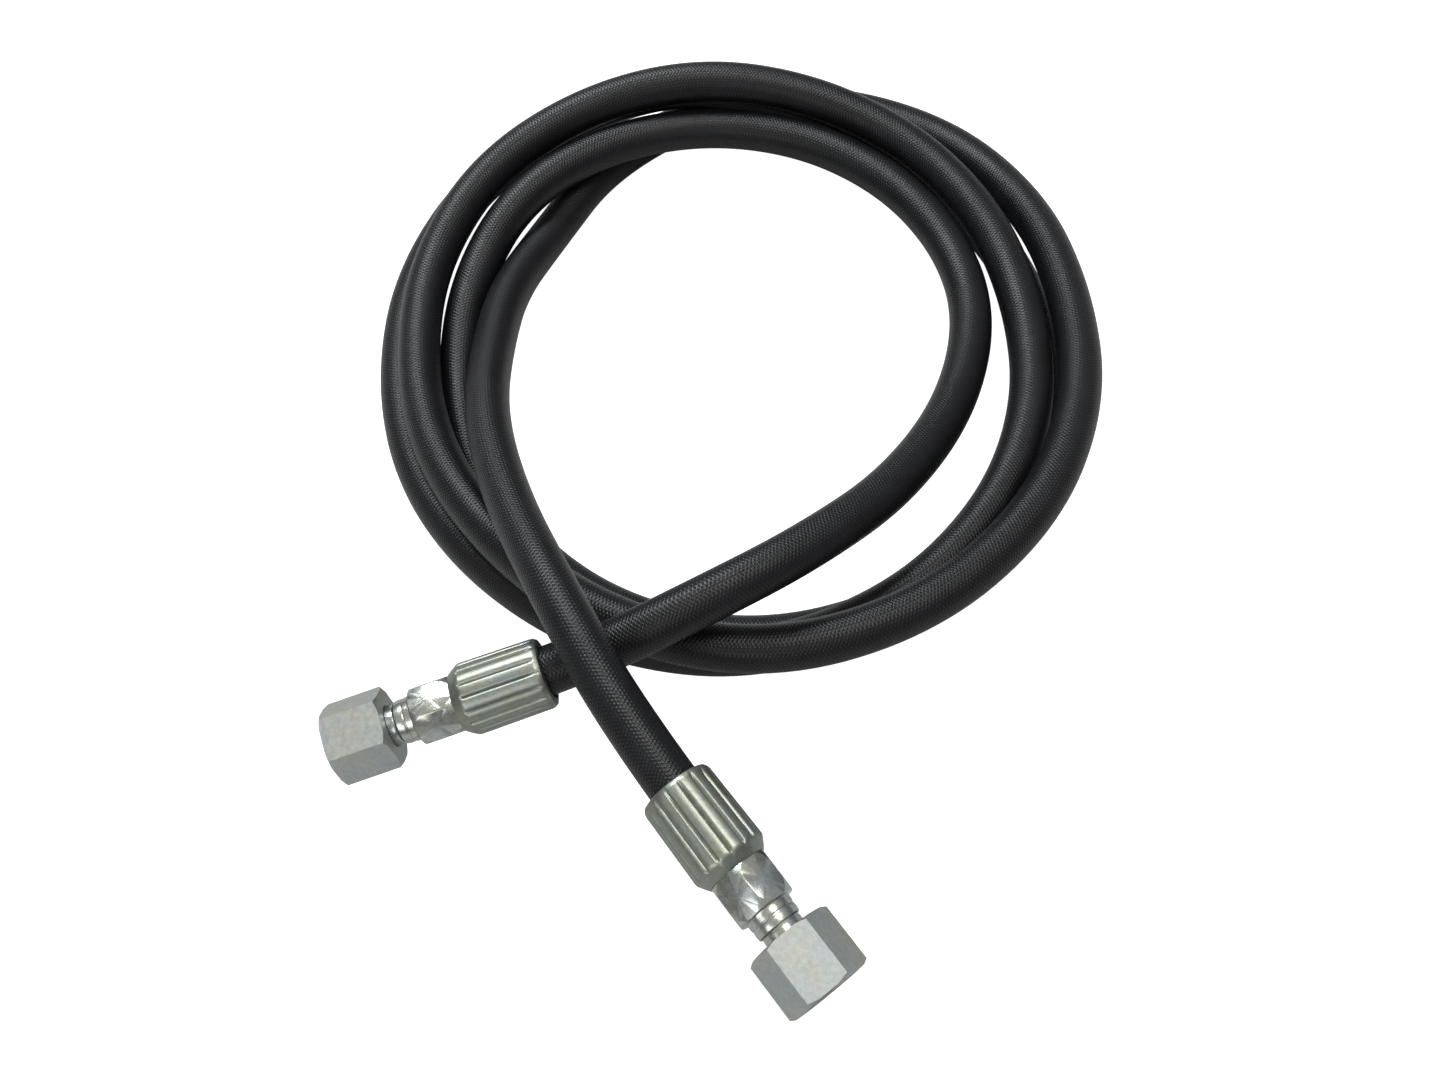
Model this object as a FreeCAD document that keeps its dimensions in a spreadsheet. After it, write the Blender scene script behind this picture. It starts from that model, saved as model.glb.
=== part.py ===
import FreeCAD, Part
import Sketcher
import math
import os

# A hydraulic hose assembly lying coiled: a two-braid rubber hose with a crimped fitting on each end.
# Millimetres, +Z up. The origin is on the surface that the coil lies on, under the middle of the whole part.
# A fitting is drawn along +Z from the ferrule's hose end, then laid along the end of the hose.

SIZES = [
    ("hose_od", 15.0, "outside diameter of the hose"),
    ("hose_bore", 6.4, "bore of the inner tube"),
    ("tube_share", 0.349, "inner tube's share of the wall"),
    ("braid_share", 0.1395, "one wire braid's share of the wall"),
    ("interlayer_share", 0.093, "rubber between the braids, share of the wall"),
    ("ferrule_od", 22.4, "outside diameter of the crimped ferrule"),
    ("ferrule_length", 28.0, "length of the ferrule"),
    ("ferrule_flange", 4.6, "depth of the flange that grips the nipple"),
    ("ferrule_flutes", 13, "crimp flutes around the ferrule"),
    ("flute_radius", 1.7, "radius of a crimp flute"),
    ("flute_depth", 0.55, "depth of a crimp flute"),
    ("body_flats", 17.0, "across the flats of the nipple's hexagon"),
    ("body_length", 13.0, "length of the nipple's hexagon"),
    ("neck_od", 13.6, "diameter of the neck behind the nut"),
    ("neck_length", 8.0, "length of the neck in front of the hexagon"),
    ("stem_od", 12.0, "diameter of the stem that the nut turns on"),
    ("port_od", 4.5, "bore through the nipple"),
    ("nut_flats", 22.0, "across the flats of the swivel nut"),
    ("nut_length", 18.0, "length of the swivel nut"),
    ("thread_share", 0.37218, "radius of the thread's crests over the nut's flats"),
    ("swivel_gap", 0.25, "radial clearance between the nut and the stem"),
    ("ring_section", 1.5, "thickness of the O-ring"),
    ("tail_gap", 2.0, "hose end of the ferrule to the tip of the barbed tail"),
    ("barb_pitch", 4.4, "spacing of the barbs"),
    ("barb_height", 0.35, "height of a barb"),
    ("nut_a_roll", 45.6, "rest angle of nut a about its axis, degrees"),
    ("nut_b_roll", 9.4, "rest angle of nut b about its axis, degrees"),
    ("body_a_roll", 2.9, "angle of nipple a's hexagon about its axis, degrees"),
    ("body_b_roll", 39.4, "angle of nipple b's hexagon about its axis, degrees"),
    ("centre_x", -0.305, "coil's centre from the origin"),
    ("centre_y", 56.418, "coil's centre from the origin"),
]

# The coil, in the order that the hose runs from fitting a: (distance from the coil's centre, height of the
# centreline) every eighth of a turn, starting on the right. The hose is 15 wide, so 7.5 lies on the surface.
COIL = [
    (88.5, 19), (94, 20.5), (99.5, 23), (101.5, 22.5), (96.5, 9.5), (104.5, 7.5), (116.5, 7.5), (118, 7.5),
    (113.5, 7.5), (114, 8.3), (121.5, 25.3), (128, 11.5), (118.5, 7.5), (119.5, 14), (127.5, 20.2),
    (116.5, 23.7), (105, 22), (110.3, 24.8), (110.3, 37.5), (117.6, 26.5), (109, 20.5), (114, 30),
    (134.5, 35), (130, 32.5), (122, 22.5), (132.5, 11.5), (124, 7.5), (89, 8), (80.5, 26),
]
OUTSET = 1.02  # arcs pass inside their corners, so the corners stand a little further out
HEAD = [
    (-84.7, -143.1, 39), (-50.5, -136, 44), (-17, -127, 54.5), (17, -110, 52), (50, -81, 37), (77, -41, 23),
]
TAIL = [(-83, -38, 38), (-74, -80, 50), (-57, -124, 61.8), (-38, -166, 60), (-14, -202.8, 54.5)]
FLOOR = 7.5
DRAWN_OD = 15.0  # the route above is drawn for a hose of this diameter, and grows with it
STEPS = 2  # route points for each eighth of a turn

doc = FreeCAD.newDocument("hydraulic_hose_assembly")
sheet = doc.addObject("Spreadsheet::Sheet", "sizes")
for row, (alias, number, note) in enumerate(SIZES, start=1):
    sheet.set(f"A{row}", note)
    sheet.set(f"B{row}", str(number))
    sheet.setAlias(f"B{row}", alias)
doc.recompute()


def value(expression):
    return float(sheet.evalExpression(expression))


def size(alias):
    return value(f"sizes.{alias}")


# Route of the hose

def blend(before, start, end, after, t):
    bend = 2 * before - 5 * start + 4 * end - after
    twist = 3 * start - before - 3 * end + after
    return 0.5 * (2 * start + (end - before) * t + bend * t * t + twist * t ** 3)


def station(index, item):
    return COIL[max(0, min(index, len(COIL) - 1))][item]


def coil_point(count):
    index = min(count // STEPS, len(COIL) - 2)
    t = count / STEPS - index
    radius, height = (blend(*(station(index + k, item) for k in (-1, 0, 1, 2)), t) for item in (0, 1))
    turn = count * math.pi / 4 / STEPS
    return (OUTSET * radius * math.cos(turn), OUTSET * radius * math.sin(turn), max(height, FLOOR))


def route_points():
    coil = [coil_point(count) for count in range((len(COIL) - 1) * STEPS + 1)]
    scale = size("hose_od") / DRAWN_OD
    centre = FreeCAD.Vector(size("centre_x"), size("centre_y"), 0)
    return [FreeCAD.Vector(*point) * scale + centre for point in HEAD + coil + TAIL]


def smooth_wire(points):
    """Straight runs joined by tangent arcs, and the arcs' radii."""
    edges, radii, last = [], [], points[0]
    for before, corner, after in zip(points, points[1:], points[2:]):
        into, out = (corner - before).normalize(), (after - corner).normalize()
        reach = 0.45 * min((corner - before).Length, (after - corner).Length)
        half = into.getAngle(out) / 2
        radius = reach / math.tan(half)
        start, end = corner - into * reach, corner + out * reach
        middle = corner + (out - into).normalize() * radius * (1 / math.cos(half) - 1)
        edges += [Part.LineSegment(last, start).toShape(), Part.Arc(start, middle, end).toShape()]
        radii.append(radius)
        last = end
    edges.append(Part.LineSegment(last, points[-1]).toShape())
    return Part.Wire(edges), radii


points = route_points()
route = doc.addObject("Part::Feature", "hose_route")
route.Shape, radii = smooth_wire(points)
route_length = route.Shape.Length
print("route radii:", " ".join(f"{radius:.0f}" for radius in radii))
print(f"route length {route_length:.1f}, tightest {min(radii):.1f}")

# Hose: five bonded layers, each a ring swept along the whole route

SUB_PARTS = []
wall = (size("hose_od") - size("hose_bore")) / 2
shares = [
    ("inner_tube", size("tube_share")),
    ("inner_wire_braid", size("braid_share")),
    ("braid_interlayer", size("interlayer_share")),
    ("outer_wire_braid", size("braid_share")),
]
shares.append(("outer_cover", 1 - sum(share for label, share in shares)))
start, along = points[0], points[1] - points[0]
inside = size("hose_bore") / 2
for label, share in shares:
    outside = inside + share * wall
    rings = [Part.Wire(Part.Circle(start, along, radius).toShape()) for radius in (outside, inside)]
    ring = Part.makeFace(rings, "Part::FaceMakerBullseye")
    layer = doc.addObject("Part::Feature", label)
    layer.Shape = route.Shape.makePipe(ring)
    expected = ring.Area * route_length
    if abs(layer.Shape.Volume - expected) > 0.01 * expected:
        raise ValueError(f"{label}: volume {layer.Shape.Volume:.0f}, expected {expected:.0f}")
    SUB_PARTS.append(layer)
    inside = outside


# Fittings

INSERTED = "(sizes.ferrule_length - sizes.ferrule_flange - 0.4)"
WALL = "((sizes.hose_od - sizes.hose_bore) / 2)"
CORE = f"(sizes.hose_bore / 2 + sizes.tube_share * {WALL})"
TAIL_R = "(sizes.hose_bore / 2 + 0.05)"
BODY_END = "(sizes.ferrule_length + sizes.body_length)"
NUT_START = f"({BODY_END} + sizes.neck_length)"
NUT_END = f"({NUT_START} + sizes.nut_length)"
THREAD_R = "(sizes.nut_flats * sizes.thread_share)"
CHAMBER_R = f"({THREAD_R} + 0.9)"
STEM_R = "(sizes.stem_od / 2)"
BACK_BORE_R = f"({STEM_R} + sizes.swivel_gap)"
HEAD_R = f"({STEM_R} + 1.7)"
CONE_FALL = math.tan(math.radians(12))  # the sealing cone is 24 degrees across
RING_AT = f"({NUT_START} + 7.45)"
GROOVE_R = f"({STEM_R} + 0.15)"
THREAD_START = f"({NUT_START} + 0.567 * sizes.nut_length)"
THREAD_END = f"({NUT_END} - 0.9)"


def plane(body, role):
    return next(item for item in body.Origin.OriginFeatures if item.Role == role)


def new_body(label):
    body = doc.addObject("PartDesign::Body", label)
    SUB_PARTS.append(body)
    return body


def new_sketch(body, name, role):
    sketch = body.newObject("Sketcher::SketchObject", name)
    sketch.AttachmentSupport = [(plane(body, role), "")]
    sketch.MapMode = "FlatFace"
    return sketch


def bind(sketch, kind, *where, expression):
    index = sketch.addConstraint(Sketcher.Constraint(kind, *where, value(expression)))
    sketch.setExpression(f"Constraints[{index}]", expression)


def draw_outline(sketch, corners):
    """A closed outline through corners given as pairs of expressions, each bound to the sheet."""
    spots = [FreeCAD.Vector(value(across), value(up), 0) for across, up in corners]
    for index, spot in enumerate(spots):
        sketch.addGeometry(Part.LineSegment(spot, spots[(index + 1) % len(spots)]), False)
    for index, (across, up) in enumerate(corners):
        previous = (index - 1) % len(corners)
        sketch.addConstraint(Sketcher.Constraint("Coincident", previous, 2, index, 1))
        bind(sketch, "DistanceX", -1, 1, index, 1, expression=across)
        bind(sketch, "DistanceY", -1, 1, index, 1, expression=up)


def revolve(body, corners):
    sketch = new_sketch(body, f"{body.Name}_profile", "XZ_Plane")
    draw_outline(sketch, corners)
    turned = body.newObject("PartDesign::Revolution", f"{body.Name}_turned")
    turned.Profile = sketch
    turned.ReferenceAxis = (sketch, ["V_Axis"])
    turned.Angle = 360
    doc.recompute()
    return turned


def cut_hexagon(body, flats, start, length):
    """Six flats milled on a turned blank, from start for length."""
    before = body.Shape.Volume
    sketch = new_sketch(body, f"{body.Name}_flats", "XY_Plane")
    sketch.setExpression("AttachmentOffset.Base.z", start)
    half = 0.5 / math.cos(math.pi / 6)
    turns = [math.pi / 3 * side for side in range(6)]
    draw_outline(sketch, [
        (f"{flats} * {half * math.cos(turn):.6f}", f"{flats} * {half * math.sin(turn):.6f}") for turn in turns
    ])
    rim = sketch.addGeometry(Part.Circle(FreeCAD.Vector(), FreeCAD.Vector(0, 0, 1), value(flats)), False)
    sketch.addConstraint(Sketcher.Constraint("Coincident", rim, 3, -1, 1))
    bind(sketch, "Radius", rim, expression=flats)
    pocket = body.newObject("PartDesign::Pocket", f"{body.Name}_hexagon")
    pocket.Profile = sketch
    pocket.Reversed = True
    pocket.setExpression("Length", length)
    doc.recompute()
    if not 0.6 * before < body.Shape.Volume < 0.999 * before:
        raise ValueError(f"{body.Name}: the flats weren't cut")


def cut_flutes(body):
    """The marks of the crimping dies: shallow round flutes along the ferrule."""
    before = body.Shape.Volume
    sketch = new_sketch(body, f"{body.Name}_flute", "XY_Plane")
    sketch.setExpression("AttachmentOffset.Base.z", "sizes.ferrule_length * 0.06")
    middle = "sizes.ferrule_od / 2 + sizes.flute_radius - sizes.flute_depth"
    circle = Part.Circle(FreeCAD.Vector(value(middle), 0, 0), FreeCAD.Vector(0, 0, 1), size("flute_radius"))
    sketch.addGeometry(circle, False)
    sketch.addConstraint(Sketcher.Constraint("PointOnObject", 0, 3, -1))
    bind(sketch, "DistanceX", -1, 1, 0, 3, expression=middle)
    bind(sketch, "Radius", 0, expression="sizes.flute_radius")
    pocket = body.newObject("PartDesign::Pocket", f"{body.Name}_flute_cut")
    pocket.Profile = sketch
    pocket.Reversed = True
    pocket.setExpression("Length", "sizes.ferrule_length * 0.84")
    doc.recompute()
    pattern = body.newObject("PartDesign::PolarPattern", f"{body.Name}_flutes")
    pattern.Originals = [pocket]
    pattern.Axis = (plane(body, "Z_Axis"), [""])
    pattern.Angle = 360
    pattern.setExpression("Occurrences", "sizes.ferrule_flutes")
    body.Tip = pattern
    doc.recompute()
    if not body.Shape.Volume < 0.995 * before:
        raise ValueError(f"{body.Name}: the flutes weren't cut")


def make_ferrule(end):
    body = new_body(f"ferrule_{end}")
    length, outer = "sizes.ferrule_length", "(sizes.ferrule_od / 2)"
    bore = "(sizes.hose_od / 2)"
    revolve(body, [
        (f"{bore} + 0.8", "0"),
        (f"{outer} - 1.9", "0"),
        (f"{outer} - 0.35", "2.0"),
        (outer, f"{length} - 3.6"),
        (f"{outer} - 0.4", f"{length} - 2.6"),
        (f"{outer} - 2.2", length),
        (CORE, length),
        (CORE, f"{length} - sizes.ferrule_flange"),
        (bore, f"{length} - sizes.ferrule_flange"),
        (bore, "0.8"),
    ])
    cut_flutes(body)


def make_nipple(end):
    body = new_body(f"nipple_{end}")
    port = "(sizes.port_od / 2)"
    corners = [(f"{port} + 0.4", "sizes.tail_gap"), (TAIL_R, "sizes.tail_gap")]
    for barb in range(4):
        foot = f"sizes.tail_gap + {barb} * sizes.barb_pitch"
        corners += [
            (f"{TAIL_R} + sizes.barb_height", f"{foot} + 0.75 * sizes.barb_pitch"),
            (TAIL_R, f"{foot} + 0.8 * sizes.barb_pitch"),
            (TAIL_R, f"{foot} + sizes.barb_pitch"),
        ]
    body_r = "(sizes.body_flats * 0.5647)"
    neck_r = "(sizes.neck_od / 2)"
    groove = 0.85
    cone_at = f"({NUT_START} + 5.6)"
    cone_r = f"({HEAD_R} - 0.2)"
    corners += [
        (TAIL_R, f"{INSERTED} + 0.2"),
        (CORE, f"{INSERTED} + 0.2"),
        (CORE, "sizes.ferrule_length"),
        (f"{body_r} - 0.85", "sizes.ferrule_length"),
        (f"{body_r} - 0.15", "sizes.ferrule_length + 2"),
        (body_r, "sizes.ferrule_length + 3.6"),
        (body_r, f"{BODY_END} - 1.9"),
        (f"{body_r} - 1.05", BODY_END),
        (f"{neck_r} + 0.1", BODY_END),
        (neck_r, f"{BODY_END} + 0.27 * sizes.neck_length"),
        (f"{neck_r} - 0.35", f"{BODY_END} + 0.3 * sizes.neck_length"),
        (f"{neck_r} - 0.1", f"{BODY_END} + 0.34 * sizes.neck_length"),
        (f"{neck_r} - 0.2", f"{BODY_END} + 0.63 * sizes.neck_length"),
        (STEM_R, f"{BODY_END} + 0.66 * sizes.neck_length"),
        (STEM_R, f"{NUT_START} + 3.2"),
        (HEAD_R, f"{NUT_START} + 4.9"),
        (HEAD_R, f"{NUT_START} + 5.4"),
        (cone_r, cone_at),
        (f"{cone_r} - {CONE_FALL * 1.0:.4f}", f"{RING_AT} - {groove}"),
        (GROOVE_R, f"{RING_AT} - {groove}"),
        (GROOVE_R, f"{RING_AT} + {groove}"),
        (f"{cone_r} - {CONE_FALL * 2.7:.4f}", f"{RING_AT} + {groove}"),
        (f"{cone_r} - {CONE_FALL * 4.1:.4f}", f"{NUT_START} + 9.7"),
        (f"{cone_r} - 1.3", f"{NUT_START} + 10"),
        (f"{port} + 0.8", f"{NUT_START} + 10"),
        (port, f"{NUT_START} + 9.2"),
        (port, "sizes.tail_gap + 0.8"),
    ]
    revolve(body, corners)
    cut_hexagon(body, "sizes.body_flats", "sizes.ferrule_length", "sizes.body_length")


def make_nut(end):
    body = new_body(f"swivel_nut_{end}")
    face_r, corner_r = "(sizes.nut_flats * 0.516)", "(sizes.nut_flats * 0.587)"
    chamfer = f"(sizes.nut_flats * {0.071 * math.tan(math.pi / 6):.5f})"
    revolve(body, [
        (f"{BACK_BORE_R} + 0.4", NUT_START),
        (face_r, NUT_START),
        (corner_r, f"{NUT_START} + {chamfer}"),
        (corner_r, f"{NUT_END} - {chamfer}"),
        (face_r, NUT_END),
        (CHAMBER_R, NUT_END),
        (THREAD_R, THREAD_END),
        (THREAD_R, THREAD_START),
        (CHAMBER_R, f"{THREAD_START} - 0.9"),
        (CHAMBER_R, f"{NUT_START} + 2.6 + ({CHAMBER_R} - {BACK_BORE_R})"),
        (BACK_BORE_R, f"{NUT_START} + 2.6"),
        (BACK_BORE_R, f"{NUT_START} + 0.4"),
    ])
    cut_hexagon(body, "sizes.nut_flats", NUT_START, "sizes.nut_length")


def make_o_ring(end):
    ring = doc.addObject("Part::Torus", f"o_ring_{end}")
    ring.setExpression("Radius2", "sizes.ring_section / 2")
    ring.setExpression("Radius1", f"{GROOVE_R} + sizes.ring_section / 2 - 0.05")
    SUB_PARTS.append(ring)


def fitting_frame(end_point, next_point):
    """The placement that lays a fitting along the end of the hose, its +Y side uppermost."""
    axis = (end_point - next_point).normalize()
    side = FreeCAD.Vector(0, 0, 1).cross(axis).normalize()
    rotation = FreeCAD.Rotation(side, axis.cross(side), axis, "ZXY")
    return FreeCAD.Placement(end_point - axis * value(INSERTED), rotation)


def turned(frame, degrees):
    spin = FreeCAD.Rotation(FreeCAD.Vector(0, 0, 1), degrees)
    return frame.multiply(FreeCAD.Placement(FreeCAD.Vector(), spin))


frames = {"a": fitting_frame(points[0], points[1]), "b": fitting_frame(points[-1], points[-2])}
for end in frames:
    make_nipple(end)
    make_ferrule(end)
    make_nut(end)
    make_o_ring(end)
doc.recompute()
for end, frame in frames.items():
    ring_lift = FreeCAD.Placement(FreeCAD.Vector(0, 0, value(RING_AT)), FreeCAD.Rotation())
    doc.getObject(f"nipple_{end}").Placement = turned(frame, size(f"body_{end}_roll"))
    doc.getObject(f"ferrule_{end}").Placement = frame
    doc.getObject(f"swivel_nut_{end}").Placement = turned(frame, size(f"nut_{end}_roll"))
    doc.getObject(f"o_ring_{end}").Placement = frame.multiply(ring_lift)
    mouth = frame.multVec(FreeCAD.Vector(0, 0, value(NUT_END)))
    thread = frame.multVec(FreeCAD.Vector(0, 0, (value(THREAD_START) + value(THREAD_END)) / 2))
    axis = frame.Rotation.multVec(FreeCAD.Vector(0, 0, 1))
    print(f"fitting {end}: mouth {mouth}, middle of thread {thread}, axis {axis}, "
          f"thread length {value(THREAD_END) - value(THREAD_START):.3f}, radius {value(THREAD_R):.4f}")
doc.recompute()

# Checks, then one file for each sub-part

for item in doc.Objects:
    if {"Invalid", "Error"} & set(item.State):
        raise ValueError(f"{item.Label}: {item.State}")
whole = FreeCAD.BoundBox()
for item in SUB_PARTS:
    if item.Shape.isNull() or not item.Shape.isValid() or item.Shape.Volume <= 0:
        raise ValueError(f"{item.Label}: bad shape")
    whole.add(item.Shape.BoundBox)
print("bounds:", whole)
os.makedirs("parts", exist_ok=True)
for item in SUB_PARTS:
    item.Shape.exportStep(f"parts/{item.Label}.step")
    print(f"{item.Label}: {item.Shape.Volume:.1f} mm3")
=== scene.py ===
# %% [markdown]
# # A coiled hydraulic hose, piece by piece
# This lesson dresses a hydraulic hose assembly for a studio picture: three metres of black two-braid hose, and on
# each end a crimped ferrule, a barbed nipple, an O-ring and a swivel nut. Everything is in metres. The solid model
# is loaded first as a fixed frame, because it says where each piece sits and which piece turns on which.

# %% Load the frame
import bpy
import bmesh
import math
from mathutils import Matrix, Vector


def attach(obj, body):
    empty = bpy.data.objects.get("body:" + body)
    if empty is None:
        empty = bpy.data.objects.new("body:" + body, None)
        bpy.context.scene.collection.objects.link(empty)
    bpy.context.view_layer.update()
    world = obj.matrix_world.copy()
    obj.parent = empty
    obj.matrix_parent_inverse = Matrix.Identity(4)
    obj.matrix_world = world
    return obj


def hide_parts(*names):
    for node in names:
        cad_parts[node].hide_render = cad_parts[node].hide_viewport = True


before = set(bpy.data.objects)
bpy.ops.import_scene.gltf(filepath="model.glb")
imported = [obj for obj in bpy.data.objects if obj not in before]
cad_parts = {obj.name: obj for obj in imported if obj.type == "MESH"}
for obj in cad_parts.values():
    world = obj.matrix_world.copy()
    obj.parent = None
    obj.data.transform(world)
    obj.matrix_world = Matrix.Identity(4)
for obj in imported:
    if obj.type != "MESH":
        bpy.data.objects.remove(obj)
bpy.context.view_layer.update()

MM = 0.001

# %% [markdown]
# ## Camera
# A coil on a table is read best from above and in front, about sixty degrees up, close enough that the near fittings
# look larger than the far side of the coil. The camera is tipped a few degrees so the coil leans to the left.
# The camera could be aimed with a Track To constraint, but a matrix built from its three axes is exact.

# %% Camera
CENTRE = Vector((-0.305, 56.418, 0)) * MM          # middle of the coil
CAMERA_PLACE = Vector((-8.26, -325.03, 426.93))    # from the middle of the coil, in millimetres
TIP_DOWN, ROLL = math.radians(59.514), math.radians(5)
ahead = Vector((0, math.cos(TIP_DOWN), -math.sin(TIP_DOWN)))
below = Vector((0, -math.sin(TIP_DOWN), -math.cos(TIP_DOWN)))
right = Vector((1, 0, 0)) * math.cos(ROLL) + below * math.sin(ROLL)
camera_data = bpy.data.cameras.new("camera")
camera_data.lens, camera_data.sensor_width = 36, 36
camera = bpy.data.objects.new("camera", camera_data)
bpy.context.scene.collection.objects.link(camera)
turn = Matrix((right, (-ahead).cross(right), -ahead)).transposed().to_4x4()
camera.matrix_world = Matrix.Translation(CENTRE + CAMERA_PLACE * MM) @ turn
bpy.context.scene.camera = camera

# %% [markdown]
# ## The hose's route
# The hose leaves fitting a, climbs over the pile, winds three and a half times round the coil and comes out over the
# top to fitting b. A stiff hose can only bend in one smooth sweep, so the route is a NURBS curve of order three: it
# is pulled towards each control point without a corner anywhere. Each pair in the coil's table is the distance from
# the middle and the height, an eighth of a turn after the pair before it.

# %% Route
COIL = [
    (88.5, 19), (94, 20.5), (99.5, 23), (101.5, 22.5), (96.5, 9.5), (104.5, 7.5), (116.5, 7.5), (118, 7.5),
    (113.5, 7.5), (114, 8.3), (121.5, 25.3), (128, 11.5), (118.5, 7.5), (119.5, 14), (127.5, 20.2),
    (116.5, 23.7), (105, 22), (110.3, 24.8), (110.3, 37.5), (117.6, 26.5), (109, 20.5), (114, 30),
    (134.5, 35), (130, 32.5), (122, 22.5), (132.5, 11.5), (124, 7.5), (89, 8), (80.5, 26),
]
OUTSET = 1.02        # the curve passes inside its points, so they stand a little further out
HEAD = [
    (-84.7, -143.1, 39), (-50.5, -136, 44), (-17, -127, 54.5), (17, -110, 52), (50, -81, 37), (77, -41, 23),
]
TAIL = [(-83, -38, 38), (-74, -80, 50), (-57, -124, 61.8), (-38, -166, 60), (-14, -202.8, 54.5)]
FLOOR = 7.5          # half the hose's width: its centre is never lower
STEPS = 2            # points for each eighth of a turn


def blend(before, start, end, after, t):
    """A smooth value between start and end that also heeds the values before and after them."""
    bend = 2 * before - 5 * start + 4 * end - after
    twist = 3 * start - before - 3 * end + after
    return 0.5 * (2 * start + (end - before) * t + bend * t * t + twist * t ** 3)


def station(index, item):
    return COIL[max(0, min(index, len(COIL) - 1))][item]


def coil_point(count):
    index = min(count // STEPS, len(COIL) - 2)
    t = count / STEPS - index
    radius, height = (blend(*(station(index + k, item) for k in (-1, 0, 1, 2)), t) for item in (0, 1))
    angle = count * math.pi / 4 / STEPS
    return (OUTSET * radius * math.cos(angle), OUTSET * radius * math.sin(angle), max(height, FLOOR))


coil = [coil_point(count) for count in range((len(COIL) - 1) * STEPS + 1)]
corners = [Vector(point) * MM + CENTRE for point in HEAD + coil + TAIL]


def follow(points):
    """The smooth line through the route: evenly evaluated points of its NURBS curve."""
    data = bpy.data.curves.new("route", "CURVE")
    data.dimensions = "3D"
    data.resolution_u = 12
    spline = data.splines.new("NURBS")
    spline.points.add(len(points) - 1)
    for knot, point in zip(spline.points, points):
        knot.co = (*point, 1)
    spline.order_u = 3
    spline.use_endpoint_u = True
    curve = bpy.data.objects.new("route", data)
    mesh = bpy.data.meshes.new_from_object(curve)
    line = [vert.co.copy() for vert in mesh.vertices]
    bpy.data.objects.remove(curve)
    bpy.data.meshes.remove(mesh)
    return line


line = follow(corners)
hose_length = sum((b - a).length for a, b in zip(line, line[1:]))
print("hose:", round(hose_length, 3), "m along", len(line), "points")

# %% [markdown]
# ## Node helpers for surfaces
# Several finishes share the same small effects: fine grain that breaks up a highlight, and a slow mottling of
# colour. Small helpers add the nodes for each effect, and the plating's mottled tint is one node group. Every
# finish keeps its own shader, so the finishes stay easy to tell apart.

# %% Node helpers
def node(tree, kind, **settings):
    made = tree.nodes.new(kind)
    for name, setting in settings.items():
        setattr(made, name, setting)
    return made


def feed(tree, target, source):
    """Links an output, or sets a plain value."""
    if isinstance(source, bpy.types.NodeSocket):
        tree.links.new(source, target)
    else:
        target.default_value = source


def maths(tree, operation, first, second=0.0):
    made = node(tree, "ShaderNodeMath", operation=operation)
    feed(tree, made.inputs[0], first)
    feed(tree, made.inputs[1], second)
    return made.outputs[0]


def noise(tree, vector, scale, detail=3.0, roughness=0.55):
    made = node(tree, "ShaderNodeTexNoise")
    feed(tree, made.inputs["Vector"], vector)
    made.inputs["Scale"].default_value = scale
    made.inputs["Detail"].default_value = detail
    made.inputs["Roughness"].default_value = roughness
    return made.outputs[0]


def ramp(tree, source, stops):
    made = node(tree, "ShaderNodeValToRGB")
    feed(tree, made.inputs[0], source)
    elements = made.color_ramp.elements
    while len(elements) < len(stops):
        elements.new(0.5)
    for element, (place, colour) in zip(elements, stops):
        element.position = place
        element.color = (*colour, 1) if isinstance(colour, tuple) else (colour, colour, colour, 1)
    return made.outputs[0]


def stretch(tree, source, low, high, lowest=0.0, highest=1.0):
    """Carries the range lowest to highest over to low to high."""
    made = node(tree, "ShaderNodeMapRange")
    feed(tree, made.inputs["Value"], source)
    made.inputs["From Min"].default_value = lowest
    made.inputs["From Max"].default_value = highest
    made.inputs["To Min"].default_value = low
    made.inputs["To Max"].default_value = high
    return made.outputs[0]


def multiply_colour(tree, first, second):
    made = node(tree, "ShaderNodeMix", data_type="RGBA", blend_type="MULTIPLY")
    feed(tree, made.inputs[0], 1.0)
    feed(tree, made.inputs[6], first)
    feed(tree, made.inputs[7], second)
    return made.outputs[2]


def bump(tree, height, distance, strength=1.0, under=None):
    made = node(tree, "ShaderNodeBump")
    made.inputs["Strength"].default_value = strength
    made.inputs["Distance"].default_value = distance
    feed(tree, made.inputs["Height"], height)
    if under is not None:
        feed(tree, made.inputs["Normal"], under)
    return made.outputs[0]


def finish(name, metallic=0.0, **uniform):
    material = bpy.data.materials.new(name)
    material.use_nodes = True
    tree = material.node_tree
    shader = tree.nodes["Principled BSDF"]
    shader.inputs["Metallic"].default_value = metallic
    for socket, setting in uniform.items():
        shader.inputs[socket.replace("_", " ")].default_value = setting
    return material, tree, shader


def object_place(tree):
    return node(tree, "ShaderNodeTexCoord").outputs["Object"]


def along_and_round(tree):
    """The hose's own map: metres along it, and metres round it."""
    place = node(tree, "ShaderNodeUVMap", uv_map="along_round").outputs[0]
    split = node(tree, "ShaderNodeSeparateXYZ")
    feed(tree, split.inputs[0], place)
    return place, split.outputs[0], split.outputs[1]

# %% [markdown]
# ## Cover rubber
# The cover is vulcanised inside a tight cloth wrap, which leaves its weave printed in the rubber: two sets of fine
# slanting ribs that cross, seen only where light skims them. The pattern must follow the hose round the coil, so it
# reads the hose's own map, in metres along and round, and each rib keeps its real width of about a millimetre.

# %% Cover rubber
RIB_PITCH, RIB_SLANT = 0.00125, 0.62       # metres along the hose, and metres along for each metre round


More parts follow.
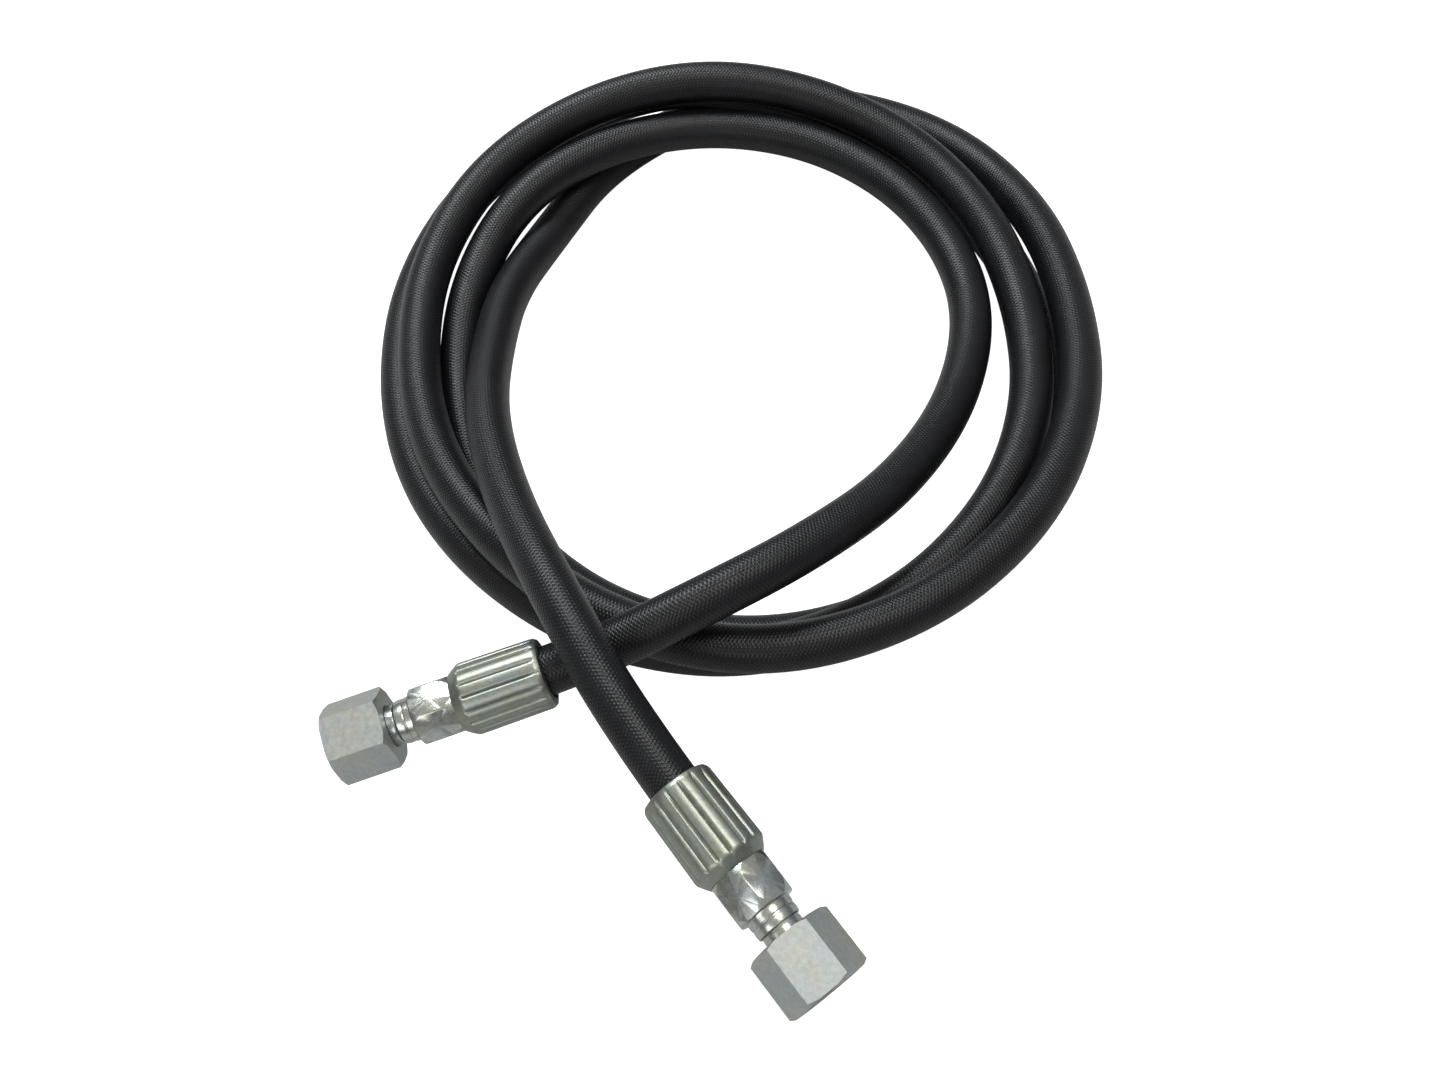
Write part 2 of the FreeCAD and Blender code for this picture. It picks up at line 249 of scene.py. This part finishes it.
def make_cover_rubber():
    material, tree, shader = finish("cover_rubber", Specular_IOR_Level=0.3)
    place, along, around = along_and_round(tree)
    ribs = []
    for slant in (1, -1):
        phase = maths(tree, "ADD", along, maths(tree, "MULTIPLY", around, RIB_SLANT * slant))
        wave = maths(tree, "SINE", maths(tree, "MULTIPLY", phase, 2 * math.pi / RIB_PITCH))
        ribs.append(stretch(tree, wave, 0.0, 1.0, lowest=-1.0))
    woven = maths(tree, "MULTIPLY", ribs[0], ribs[1])
    wear = noise(tree, place, 28, 4)
    woven = maths(tree, "MULTIPLY", woven, stretch(tree, wear, 0.15, 1.2))
    grain = noise(tree, place, 5200, 2)
    fine = bump(tree, grain, 0.00003, 0.35)
    feed(tree, shader.inputs["Normal"], bump(tree, woven, 0.00028, 0.7, fine))
    smudge = noise(tree, place, 60, 5, 0.65)
    colour = ramp(tree, smudge, [(0.3, (0.003, 0.0032, 0.0038)), (0.72, (0.007, 0.0075, 0.009))])
    feed(tree, shader.inputs["Base Color"], colour)
    feed(tree, shader.inputs["Roughness"], stretch(tree, smudge, 0.28, 0.41))
    return material


cover_rubber = make_cover_rubber()

# %% [markdown]
# ## Wires and inner rubber
# Under the cover are two braids of brass-tinted steel wire with thin rubber between them. They show only where a hose
# is cut, but each is a real layer, so each gets its own finish: over-and-under strands for the braids, and a smooth
# extruded skin for the rubber.

# %% Braid wire and tube rubber
WIRE_PITCH, WIRE_SLANT, BAND = 0.0006, 1.36, 0.0048     # strands cross over and under once in each band


def make_braid_wire():
    material, tree, shader = finish("braid_wire", metallic=1.0)
    place, along, around = along_and_round(tree)
    strands = []
    for slant in (1, -1):
        phase = maths(tree, "ADD", along, maths(tree, "MULTIPLY", around, WIRE_SLANT * slant))
        strands.append(maths(tree, "SINE", maths(tree, "MULTIPLY", phase, 2 * math.pi / WIRE_PITCH)))
    band = maths(tree, "SINE", maths(tree, "MULTIPLY", along, 2 * math.pi / BAND))
    side = stretch(tree, band, 0.0, 1.0, lowest=-0.2, highest=0.2)
    mixed = node(tree, "ShaderNodeMix", data_type="FLOAT")
    feed(tree, mixed.inputs[0], side)
    feed(tree, mixed.inputs[2], strands[0])
    feed(tree, mixed.inputs[3], strands[1])
    feed(tree, shader.inputs["Normal"], bump(tree, mixed.outputs[0], 0.00012, 0.8))
    tint = noise(tree, place, 400, 3)
    feed(tree, shader.inputs["Base Color"], ramp(tree, tint, [(0.3, (0.5, 0.4, 0.26)), (0.7, (0.66, 0.62, 0.55))]))
    feed(tree, shader.inputs["Roughness"], stretch(tree, tint, 0.25, 0.42))
    return material


def make_tube_rubber():
    material, tree, shader = finish("tube_rubber", Specular_IOR_Level=0.4)
    place = along_and_round(tree)[0]
    drawn = noise(tree, place, 900, 3)
    feed(tree, shader.inputs["Normal"], bump(tree, drawn, 0.00004, 0.5))
    feed(tree, shader.inputs["Base Color"], ramp(tree, drawn, [(0.3, 0.008), (0.7, 0.02)]))
    feed(tree, shader.inputs["Roughness"], stretch(tree, drawn, 0.42, 0.6))
    return material


braid_wire = make_braid_wire()
tube_rubber = make_tube_rubber()

# %% [markdown]
# ## Zinc plating
# The fittings are steel with bright zinc plating. A thin clear film over the zinc gives weak tints of straw, blue
# and green, and handling leaves it mottled. The turned parts are smoother and keep fine rings from the lathe, and
# the nut's drawn flats are duller. One node group makes the mottled tint, and each finish sets its own gloss.

# %% Zinc plating
def make_tint_group():
    group = bpy.data.node_groups.new("plating_tint", "ShaderNodeTree")
    group.interface.new_socket("Place", in_out="INPUT", socket_type="NodeSocketVector")
    group.interface.new_socket("Bright", in_out="INPUT", socket_type="NodeSocketColor")
    group.interface.new_socket("Colour", in_out="OUTPUT", socket_type="NodeSocketColor")
    group.interface.new_socket("Mottle", in_out="OUTPUT", socket_type="NodeSocketFloat")
    enter, leave = node(group, "NodeGroupInput"), node(group, "NodeGroupOutput")
    place, bright = enter.outputs["Place"], enter.outputs["Bright"]
    film = ramp(group, noise(group, place, 95, 2), [
        (0.30, (0.90, 0.95, 1.0)), (0.47, (0.97, 1.0, 0.98)), (0.60, (1.0, 0.985, 0.91)), (0.72, (0.93, 1.0, 0.95))])
    mottle = noise(group, place, 700, 5, 0.7)
    dulled = multiply_colour(group, multiply_colour(group, bright, film),
                             ramp(group, mottle, [(0.32, 0.8), (0.62, 1.0)]))
    feed(group, leave.inputs["Colour"], dulled)
    feed(group, leave.inputs["Mottle"], mottle)
    return group


plating_tint = make_tint_group()


def make_plating(name, bright, smooth, rough, grain):
    """Zinc over steel: its brightness, the range of its roughness, and how deep its grain is."""
    material, tree, shader = finish(name, metallic=1.0)
    place = object_place(tree)
    tint = node(tree, "ShaderNodeGroup", node_tree=plating_tint)
    feed(tree, tint.inputs["Place"], place)
    feed(tree, tint.inputs["Bright"], (*bright, 1))
    feed(tree, shader.inputs["Base Color"], tint.outputs["Colour"])
    feed(tree, shader.inputs["Roughness"], stretch(tree, tint.outputs["Mottle"], smooth, rough))
    cloudy = bump(tree, noise(tree, place, 260, 3), 0.0002, grain)
    feed(tree, shader.inputs["Normal"], bump(tree, noise(tree, place, 2600, 2), 0.00002, grain, cloudy))
    return material


turned_zinc = make_plating("turned_zinc", (0.50, 0.51, 0.49), 0.17, 0.34, 0.16)
crimped_zinc = make_plating("crimped_zinc", (0.31, 0.325, 0.295), 0.32, 0.5, 0.5)
drawn_zinc = make_plating("drawn_zinc", (0.475, 0.485, 0.475), 0.42, 0.62, 0.45)


def make_ring_rubber():
    material, tree, shader = finish("ring_rubber", Specular_IOR_Level=0.5)
    skin = noise(tree, object_place(tree), 1500, 3)
    feed(tree, shader.inputs["Base Color"], ramp(tree, skin, [(0.3, 0.01), (0.7, 0.022)]))
    feed(tree, shader.inputs["Roughness"], stretch(tree, skin, 0.3, 0.45))
    feed(tree, shader.inputs["Normal"], bump(tree, skin, 0.00002, 0.4))
    return material


ring_rubber = make_ring_rubber()

# %% [markdown]
# ## Putting a piece in the scene
# Every piece's object stays at the origin, and its place is in its mesh. The helper turns a finished bmesh into such
# an object, makes its normals face outwards, gives it one material and names the solid that it stands for.

# %% Piece helper
def piece(name, bm, material, stands_for, body, place=Matrix(), sharp=32):
    bmesh.ops.transform(bm, matrix=place, verts=bm.verts)
    bmesh.ops.recalc_face_normals(bm, faces=bm.faces)
    mesh = bpy.data.meshes.new(name)
    bm.to_mesh(mesh)
    bm.free()
    mesh.shade_smooth()
    mesh.set_sharp_from_angle(angle=math.radians(sharp))
    mesh.materials.append(material)
    made = bpy.data.objects.new(name, mesh)
    bpy.context.scene.collection.objects.link(made)
    if material.name.endswith("zinc"):
        made.modifiers.new("flat faces stay flat", "WEIGHTED_NORMAL").keep_sharp = True
    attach(made, body)
    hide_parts(stands_for)
    print(name, len(mesh.polygons), "faces")
    return made

# %% [markdown]
# ## The hose
# The hose is a long tube along the route. A bevelled curve would do for its shape, but a map in true metres is
# needed for the printed weave, so rings are laid along the line and joined. Each ring's direction is carried on from
# the one before it, so that the tube doesn't twist. The layers are tubes one inside the next.

# %% Hose layers
def carried_frames(points):
    """A matrix at each point whose Z runs along the line and whose X turns as little as it can."""
    frames, side = [], Vector((0, 0, 1))
    for index, point in enumerate(points):
        ahead = (points[min(index + 1, len(points) - 1)] - points[max(index - 1, 0)]).normalized()
        side = (side - ahead * side.dot(ahead)).normalized()
        here = Matrix((side, ahead.cross(side), ahead)).transposed().to_4x4()
        here.translation = point
        frames.append(here)
    return frames


frames = carried_frames(line)
distances = [0.0]
for a, b in zip(line, line[1:]):
    distances.append(distances[-1] + (b - a).length)


def hose_layer(name, outer, inner, segments, material):
    bm = bmesh.new()
    uv = bm.loops.layers.uv.new("along_round")
    walls = []
    for radius in (outer, inner):
        rings = []
        for frame_at in frames:
            rings.append(bmesh.ops.create_circle(bm, segments=segments, radius=radius, matrix=frame_at)["verts"])
        for index in range(len(rings) - 1):
            for k in range(segments):
                after = (k + 1) % segments
                quad = (rings[index][k], rings[index][after], rings[index + 1][after], rings[index + 1][k])
                face = bm.faces.new(quad)
                for loop, (step, spot) in zip(face.loops, ((0, k), (0, k + 1), (1, k + 1), (1, k))):
                    loop[uv].uv = (distances[index + step], 2 * math.pi * radius * spot / segments)
        walls.append(rings)
    for end in (0, -1):
        for k in range(segments):
            after = (k + 1) % segments
            bm.faces.new((walls[0][end][k], walls[0][end][after], walls[1][end][after], walls[1][end][k]))
    return piece(name, bm, material, name.replace("hose_", ""), "hose", sharp=60)


bore, wall = 3.2 * MM, 4.3 * MM
layers = [      # name, share of the wall, segments round, finish, slot
    ("hose_inner_tube", 0.349, 16, tube_rubber, "tube_rubber"),
    ("hose_inner_wire_braid", 0.1395, 16, braid_wire, "braid_wire"),
    ("hose_braid_interlayer", 0.093, 16, tube_rubber, "tube_rubber"),
    ("hose_outer_wire_braid", 0.1395, 20, braid_wire, "braid_wire"),
    ("hose_outer_cover", 0.279, 40, cover_rubber, "cover_rubber"),
]
inside, hose = bore, {}
for name, share, segments, material, slot in layers:
    hose[name] = hose_layer(name, inside + share * wall, inside, segments, material)
    inside += share * wall
    print(name, "outside radius", round(inside / MM, 3), "mm")

# %% [markdown]
# ## Turned and milled metal
# A nipple or nut starts as a turned blank, so its half section is spun about the axis. Flats are then milled: each is
# a plane that cuts a slice off, and the open edge is filled with one flat face. Last, a narrow bevel rounds every
# sharp edge, because plated edges are never razor sharp and they catch a thin bright line of light.

# %% Turning and milling helpers
FERRULE, FLANGE, BODY, NECK, NUT = 28 * MM, 4.6 * MM, 13 * MM, 8 * MM, 18 * MM
INSERTED = FERRULE - FLANGE - 0.4 * MM
BODY_END = FERRULE + BODY
NUT_START = BODY_END + NECK
NUT_END = NUT_START + NUT
RING_AT = NUT_START + 7.45 * MM        # middle of the O-ring


def turned_blank(section, steps):
    """Spins a closed half section, given as (radius, height) in metres, right round Z."""
    bm = bmesh.new()
    verts = [bm.verts.new((radius, 0, height)) for radius, height in section]
    edges = [bm.edges.new((a, b)) for a, b in zip(verts, verts[1:] + verts[:1])]
    bmesh.ops.spin(bm, geom=verts + edges, axis=(0, 0, 1), cent=(0, 0, 0), steps=steps, angle=2 * math.pi,
                   use_merge=True)
    bmesh.ops.remove_doubles(bm, verts=bm.verts, dist=1e-7)
    bmesh.ops.recalc_face_normals(bm, faces=bm.faces)
    return bm


def mill_flats(bm, across, sides=6):
    """Cuts flats evenly round a blank, the first facing +Y."""
    for side in range(sides):
        angle = math.pi / 2 + 2 * math.pi * side / sides
        facing = Vector((math.cos(angle), math.sin(angle), 0))
        geom = list(bm.verts) + list(bm.edges) + list(bm.faces)
        cut = bmesh.ops.bisect_plane(bm, geom=geom, dist=1e-8, plane_co=facing * across / 2, plane_no=facing,
                                     clear_outer=True)["geom_cut"]
        rim = [item for item in cut if isinstance(item, bmesh.types.BMEdge)]
        bmesh.ops.contextual_create(bm, geom=rim)


def soften(bm, offset, angle=28, segments=2):
    bm.normal_update()
    limit = math.radians(angle)
    edges = [edge for edge in bm.edges if len(edge.link_faces) == 2 and edge.calc_face_angle(0) > limit]
    bmesh.ops.bevel(bm, geom=edges, offset=offset, offset_type="OFFSET", segments=segments, profile=0.5,
                    affect="EDGES", clamp_overlap=True, material=-1)


def along_end(end_point, next_point):
    """Where a fitting goes: its hose end on the hose, its axis along it, its +Y side uppermost."""
    axis = (end_point - next_point).normalized()
    side = Vector((0, 0, 1)).cross(axis).normalized()
    place = Matrix((side, axis.cross(side), axis)).transposed().to_4x4()
    place.translation = end_point - axis * INSERTED
    return place


places = {"a": along_end(corners[0], corners[1]), "b": along_end(corners[-1], corners[-2])}
NUT_ROLLS = {"a": math.radians(45.6), "b": math.radians(9.4)}
BODY_ROLLS = {"a": math.radians(2.9), "b": math.radians(39.4)}

# %% [markdown]
# ## Ferrule
# The ferrule is a steel sleeve squeezed by the dies of a crimping press. The dies leave broad raised ribs with
# narrow grooves between them, and each groove fades out before the ends. The sleeve is spun with enough steps for
# every rib to have its own rounding, then each point is pressed in by how near it is to a groove.

# %% Ferrule
RIBS = 16
LAND = 0.72                                       # share of each rib that isn't groove
GROOVE_DEPTH, CROWN = 0.62 * MM, 0.14 * MM


def pressed(angle, height):
    """How far a die's edge presses the sleeve in, in metres."""
    across = abs((angle * RIBS / (2 * math.pi)) % 1 - 0.5) * 2      # 1 in a groove, 0 on a rib
    groove = max(0.0, (across - LAND) / (1 - LAND))
    start = min(1, max(0, (height - 1.2 * MM) / (1.6 * MM)))
    finish_at = min(1, max(0, (FERRULE - 2.7 * MM - height) / (1.1 * MM)))
    crown = min(1.0, across / LAND) ** 2
    return (GROOVE_DEPTH * groove + CROWN * crown) * min(start, finish_at)


def make_ferrule(end):
    outer, core, cover = 11.2 * MM, 4.7 * MM, 7.5 * MM
    section = [
        (cover + 0.9 * MM, 0), (outer - 1.9 * MM, 0), (outer - 1.0 * MM, 0.35 * MM), (outer - 0.5 * MM, 1.2 * MM)]
    section += [(outer - (0.32 - 0.3 * k / 10) * MM, (2.0 + k * 2.2) * MM) for k in range(11)]
    section += [
        (outer - 0.1 * MM, 24.7 * MM), (outer - 0.45 * MM, 25.3 * MM), (outer - 1.35 * MM, 26.8 * MM),
        (outer - 2.2 * MM, FERRULE),
        (core + 0.02 * MM, FERRULE), (core + 0.02 * MM, FERRULE - FLANGE), (cover, FERRULE - FLANGE),
        (cover, 0.9 * MM)]
    bm = turned_blank(section, RIBS * 16)
    for vert in bm.verts:
        flat = Vector((vert.co.x, vert.co.y))
        if flat.length > outer - 2.0 * MM:
            angle = math.atan2(vert.co.y, vert.co.x) % (2 * math.pi)
            vert.co.xy = flat * (1 - pressed(angle, vert.co.z) / flat.length)
    return piece(f"crimped_ferrule_{end}", bm, crimped_zinc, f"ferrule_{end}", "hose",
                 places[end], sharp=38)


ferrules = {end: make_ferrule(end) for end in places}

# %% [markdown]
# ## Nipple
# The nipple is one turned bar: a barbed tail inside the hose, a collar for the ferrule, a fixed hexagon, a short
# neck with a fine groove, the stem that the nut turns on, and a 24 degree cone that seals. Only part of it is
# hexagonal, so that length is turned and milled apart from the rest, and the two meet inside the steel.

# %% Nipple
def cone_radius(height):
    return 7.5 * MM - (height - NUT_START - 5.6 * MM) * math.tan(math.radians(12))


def make_nipple(end):
    port, tail, core, stem, neck = 2.25 * MM, 3.25 * MM, 4.7 * MM, 6 * MM, 6.8 * MM
    section = [(port + 0.4 * MM, 2 * MM), (tail, 2 * MM)]
    for barb in range(4):
        foot = (2 + 4.4 * barb) * MM
        section += [(tail + 0.35 * MM, foot + 3.3 * MM), (tail, foot + 3.52 * MM), (tail, foot + 4.4 * MM)]
    section += [
        (tail, INSERTED + 0.2 * MM), (core, INSERTED + 0.2 * MM), (core, FERRULE + 0.6 * MM),
        (7.9 * MM, FERRULE + 0.6 * MM), (7.9 * MM, BODY_END - 0.5 * MM), (neck + 0.1 * MM, BODY_END - 0.5 * MM),
        (neck + 0.05 * MM, BODY_END + 0.9 * MM), (neck, BODY_END + 2.1 * MM),
        (neck - 0.26 * MM, BODY_END + 2.3 * MM), (neck - 0.26 * MM, BODY_END + 2.45 * MM),
        (neck - 0.1 * MM, BODY_END + 2.75 * MM), (neck - 0.05 * MM, BODY_END + 3.8 * MM),
        (neck - 0.2 * MM, BODY_END + 5.0 * MM), (neck - 0.5 * MM, BODY_END + 5.3 * MM), (stem, BODY_END + 5.35 * MM),
        (stem - 0.12 * MM, BODY_END + 5.8 * MM), (stem, BODY_END + 6.2 * MM), (stem, NUT_START + 3.2 * MM),
        (7.7 * MM, NUT_START + 4.9 * MM), (7.7 * MM, NUT_START + 5.4 * MM), (7.5 * MM, NUT_START + 5.6 * MM),
        (cone_radius(RING_AT - 0.85 * MM), RING_AT - 0.85 * MM), (stem + 0.15 * MM, RING_AT - 0.85 * MM),
        (stem + 0.15 * MM, RING_AT + 0.85 * MM), (cone_radius(RING_AT + 0.85 * MM), RING_AT + 0.85 * MM),
        (cone_radius(NUT_START + 9.7 * MM), NUT_START + 9.7 * MM), (6.2 * MM, NUT_START + 10 * MM),
        (port + 0.8 * MM, NUT_START + 10 * MM), (port, NUT_START + 9.2 * MM), (port, 2.8 * MM)]
    bm = turned_blank(section, 72)
    soften(bm, 0.09 * MM, angle=35)
    return bm


def make_hexagon():
    """The fixed hexagon: a barrel with rounded shoulders and six flats."""
    hub, crest = 5.2 * MM, 9.65 * MM
    section = [
        (hub, FERRULE), (8.75 * MM, FERRULE), (9.0 * MM, FERRULE + 0.8 * MM), (9.45 * MM, FERRULE + 2.0 * MM),
        (crest, FERRULE + 3.6 * MM), (crest, BODY_END - 3.4 * MM), (9.3 * MM, BODY_END - 1.8 * MM),
        (8.7 * MM, BODY_END - 0.4 * MM), (8.2 * MM, BODY_END), (hub, BODY_END)]
    bm = turned_blank(section, 96)
    mill_flats(bm, 17 * MM)
    soften(bm, 0.35 * MM, angle=30, segments=3)
    flats = [face for face in bm.faces if face.calc_area() > 50 * MM * MM]
    bmesh.ops.poke(bm, faces=flats)                # a fan from its middle shades each flat as slightly crowned
    return bm


def join_nipple(end):
    bm = make_nipple(end)
    hexagon = make_hexagon()
    lump = bpy.data.meshes.new("hexagon")
    hexagon.transform(Matrix.Rotation(BODY_ROLLS[end], 4, "Z"))
    hexagon.to_mesh(lump)
    hexagon.free()
    bm.from_mesh(lump)
    bpy.data.meshes.remove(lump)
    made = piece(f"turned_nipple_{end}", bm, turned_zinc, f"nipple_{end}", "hose", places[end],
                 sharp=28)
    back = places[end].inverted()
    neck = made.vertex_groups.new(name="neck")
    neck.add([vert.index for vert in made.data.vertices if (back @ vert.co).z > BODY_END + 0.1 * MM], 1.0,
             "REPLACE")
    made.modifiers[0].vertex_group = "neck"       # the hexagon's flats stay a little crowned
    return made


nipples = {end: join_nipple(end) for end in places}

# %% [markdown]
# ## Swivel nut
# The nut is cut from drawn hexagon bar. Its two ends are chamfered at thirty degrees, which leaves the curved scallop
# on each flat. Inside is a real helical thread, made by spinning one small ridge up the bore while it climbs one
# pitch each turn. The nut has its own joint, so it is a piece of its own, clear of the stem all round.

# %% Swivel nut
PITCH = 1.5 * MM
THREAD_TURNS = 4.0


def make_thread(crest, root, start, turns):
    """One helical ridge: a triangle spun round Z, climbing a pitch a turn."""
    bm = bmesh.new()
    half = 0.46 * PITCH
    ridge = [(root + 0.25 * MM, -half), (crest, -0.1 * MM), (crest, 0.1 * MM), (root + 0.25 * MM, half)]
    verts = [bm.verts.new((radius, 0, start + height)) for radius, height in ridge]
    face = bm.faces.new(verts)
    steps = int(turns * 40)
    bmesh.ops.spin(bm, geom=[face] + list(face.edges) + verts, axis=(0, 0, 1), cent=(0, 0, 0), steps=steps,
                   angle=2 * math.pi * turns, dvec=(0, 0, PITCH * turns / steps))
    bmesh.ops.remove_doubles(bm, verts=bm.verts, dist=1e-7)
    bmesh.ops.holes_fill(bm, edges=bm.edges, sides=8)
    return bm


def make_nut(end):
    across = 22 * MM
    bore, crest, root = 6.25 * MM, 8.25 * MM, 9.0 * MM
    rise = 0.071 * across * math.tan(math.pi / 6)
    face_r, corner_r = 0.516 * across, 0.587 * across
    thread_start = NUT_START + 0.567 * NUT
    section = [
        (bore + 0.4 * MM, NUT_START), (face_r, NUT_START), (corner_r, NUT_START + rise),
        (corner_r, NUT_END - rise), (face_r, NUT_END), (9.35 * MM, NUT_END), (root, NUT_END - 0.45 * MM),
        (root, thread_start - 0.4 * MM), (9.15 * MM, thread_start - 0.9 * MM),
        (9.15 * MM, NUT_START + 2.7 * MM + 2.9 * MM), (bore, NUT_START + 2.6 * MM), (bore, NUT_START + 0.4 * MM)]
    bm = turned_blank(section, 120)
    mill_flats(bm, across)
    soften(bm, 0.2 * MM, angle=22, segments=3)
    thread = make_thread(crest, root, thread_start + 0.35 * MM, THREAD_TURNS)
    ridge = bpy.data.meshes.new("thread")
    thread.to_mesh(ridge)
    thread.free()
    bm.from_mesh(ridge)
    bpy.data.meshes.remove(ridge)
    return piece(f"threaded_nut_{end}", bm, drawn_zinc, f"swivel_nut_{end}", f"nut_{end}",
                 places[end] @ Matrix.Rotation(NUT_ROLLS[end], 4, "Z"), sharp=22)


nuts = {end: make_nut(end) for end in places}

# %% [markdown]
# ## O-ring
# A rubber ring sits in the cone's groove and seals before metal touches metal. A small circle is set beside the
# axis and spun right round it.

# %% O-ring
def make_ring(end):
    bm = bmesh.new()
    at = Matrix.Translation((6.85 * MM, 0, RING_AT)) @ Matrix.Rotation(math.pi / 2, 4, "X")
    bmesh.ops.create_circle(bm, segments=16, radius=0.75 * MM, matrix=at)
    bmesh.ops.spin(bm, geom=bm.verts[:] + bm.edges[:], axis=(0, 0, 1), cent=(0, 0, 0), steps=64,
                   angle=2 * math.pi, use_merge=True)
    bmesh.ops.remove_doubles(bm, verts=bm.verts, dist=1e-7)
    return piece(f"cone_ring_{end}", bm, ring_rubber, f"o_ring_{end}", "hose", places[end])


rings = {end: make_ring(end) for end in places}

# %% [markdown]

# %% [markdown]
# ## Floor and light
# A large soft light from behind and above gives the black rubber its long pale highlights. Bright metal shows
# whatever surrounds it, so the sky is dim near the horizon and pale overhead, and the plating's upper sides turn
# light and its lower sides dark. A white floor would fill those lower sides in: it glows only for what looks straight
# at it, and is a plain mid grey for everything that it lights or is mirrored in.

# %% Floor, light and sky
def make_floor():
    bm = bmesh.new()
    bmesh.ops.create_grid(bm, x_segments=1, y_segments=1, size=3)
    mesh = bpy.data.meshes.new("floor")
    bm.to_mesh(mesh)
    bm.free()
    floor = bpy.data.objects.new("floor", mesh)
    floor.location.z = -0.0002
    bpy.context.scene.collection.objects.link(floor)
    material, tree, shader = finish("white_floor", Specular_IOR_Level=0.1)
    shader.inputs["Base Color"].default_value = (0.5, 0.5, 0.5, 1)
    shader.inputs["Roughness"].default_value = 0.9
    shader.inputs["Emission Color"].default_value = (1, 1, 1, 1)
    seen = node(tree, "ShaderNodeLightPath").outputs["Is Camera Ray"]
    feed(tree, shader.inputs["Emission Strength"], seen)
    mesh.materials.append(material)


def soft_light(name, place, target, size, power, colour=(1, 1, 1)):
    data = bpy.data.lights.new(name, "AREA")
    data.shape, data.size, data.size_y = "RECTANGLE", size[0], size[1]
    data.energy, data.color = power, colour
    lamp = bpy.data.objects.new(name, data)
    lamp.location = place
    lamp.rotation_euler = (Vector(target) - Vector(place)).to_track_quat("-Z", "Y").to_euler()
    bpy.context.scene.collection.objects.link(lamp)


make_floor()
soft_light("window", (-0.35, 0.75, 0.95), (0, 0.03, 0), (0.7, 0.3), 12, (0.93, 0.97, 1.0))
soft_light("overhead", (0.25, 0.0, 1.3), (0, 0, 0), (0.45, 0.45), 6, (1.0, 0.98, 0.95))
soft_light("front", (-0.5, -1.0, 0.7), (0, 0, 0), (0.9, 0.5), 4)

world = bpy.data.worlds.new("studio")
world.use_nodes = True
bpy.context.scene.world = world
sky = world.node_tree
height = node(sky, "ShaderNodeSeparateXYZ")
feed(sky, height.inputs[0], node(sky, "ShaderNodeTexCoord").outputs["Generated"])
shade = ramp(sky, height.outputs[2], [
    (0.0, (0.34, 0.33, 0.31)), (0.3, (0.22, 0.23, 0.25)), (0.6, (0.55, 0.56, 0.57)), (0.9, (0.72, 0.72, 0.7))])
feed(sky, sky.nodes["Background"].inputs[0], shade)
sky.nodes["Background"].inputs[1].default_value = 0.8
bpy.context.scene.view_settings.view_transform = "Standard"
